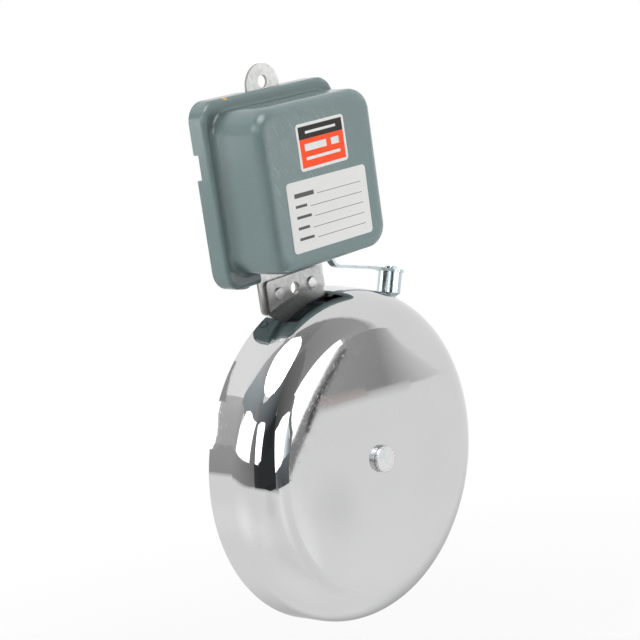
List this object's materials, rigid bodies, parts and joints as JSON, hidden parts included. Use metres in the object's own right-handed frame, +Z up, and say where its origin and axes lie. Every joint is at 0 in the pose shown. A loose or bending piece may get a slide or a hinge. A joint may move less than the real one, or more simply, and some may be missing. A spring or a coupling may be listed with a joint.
{
  "type": "electric alarm bell",
  "caption": "Wall-mounted electric alarm bell: painted steel cover on a base plate, sprung striker with an outside hammer, and a round polished gong hung below.",
  "frame": {"origin": "midway between the two wall-screw holes, on the rear face of the base plate", "axes": "+Y towards the wall, +Z up, +X to the right as seen from the front"},
  "size_m": [0.15, 0.0478, 0.2506],
  "materials": {
    "cover_paint": "satin enamel, slightly orange-peeled",
    "galvanised_sheet": "dull mottled galvanising",
    "gong_polish": "mirror polish with fine buffing lines",
    "arm_zinc": "bright blue-white zinc plating",
    "zinc_steel": "bright zinc plating",
    "aluminium_rivet": "dull, as formed",
    "upper_label": "printed paper, semi-gloss",
    "lower_label": "printed paper, semi-gloss",
    "core_steel": "oiled laminations",
    "bobbin_plastic": "moulded nylon",
    "copper_wire": "enamelled copper",
    "wrap_film": "blue polyester film",
    "spring_steel": "plain drawn wire",
    "brass": "turned or pressed brass",
    "rubber": "black rubber",
    "fibre": "vulcanised fibre",
    "block_plastic": "black phenolic moulding",
    "lead_insulation": "plastic insulation"
  },
  "bodies": {
    "housing": {"base_plate": "galvanised_sheet", "gong_bracket": "galvanised_sheet", "cover": "cover_paint", "cover_screws": "zinc_steel", "upper_label": "upper_label", "lower_label": "lower_label", "bracket_rivets": "aluminium_rivet", "gong": "gong_polish", "gong_face_washer": "zinc_steel", "gong_bolt": "zinc_steel", "gong_seat_washer": "fibre", "gong_spacer": "zinc_steel", "gong_lock_washer": "zinc_steel", "gong_nut": "zinc_steel", "magnet_core": "core_steel", "core_spacers": "zinc_steel", "core_screws": "zinc_steel", "core_nuts": "zinc_steel", "coil_bobbin": "bobbin_plastic", "coil_winding": "copper_wire", "coil_wrap": "wrap_film", "pivot_stud": "zinc_steel", "pivot_clip": "zinc_steel", "return_spring": "spring_steel", "spring_post": "zinc_steel", "back_stop_post": "zinc_steel", "back_stop_sleeve": "rubber", "insulating_sheet": "fibre", "terminal_block": "block_plastic", "block_screw": "zinc_steel", "terminal_clamps": "brass", "terminal_screws": "zinc_steel", "coil_leads": "lead_insulation", "cable_grommet": "rubber", "earth_washer": "brass", "earth_screw": "zinc_steel"},
    "striker": {"armature": "core_steel", "armature_bush": "brass", "hammer_arm": "arm_zinc", "arm_rivets": "aluminium_rivet", "hammer_head": "arm_zinc", "hammer_rivet": "arm_zinc"}
  },
  "joints": [
    {"name": "striker_swing", "type": "hinge", "parent": "housing", "child": "striker", "pos_m": [0.0104, -0.0143, 0.03], "axis": [0, 1, 0], "range_deg": [0, 0.78], "stiffness_Nm_per_rad": 0.075, "springref_deg": -7.45, "deforming": ["return_spring"]}
  ]
}
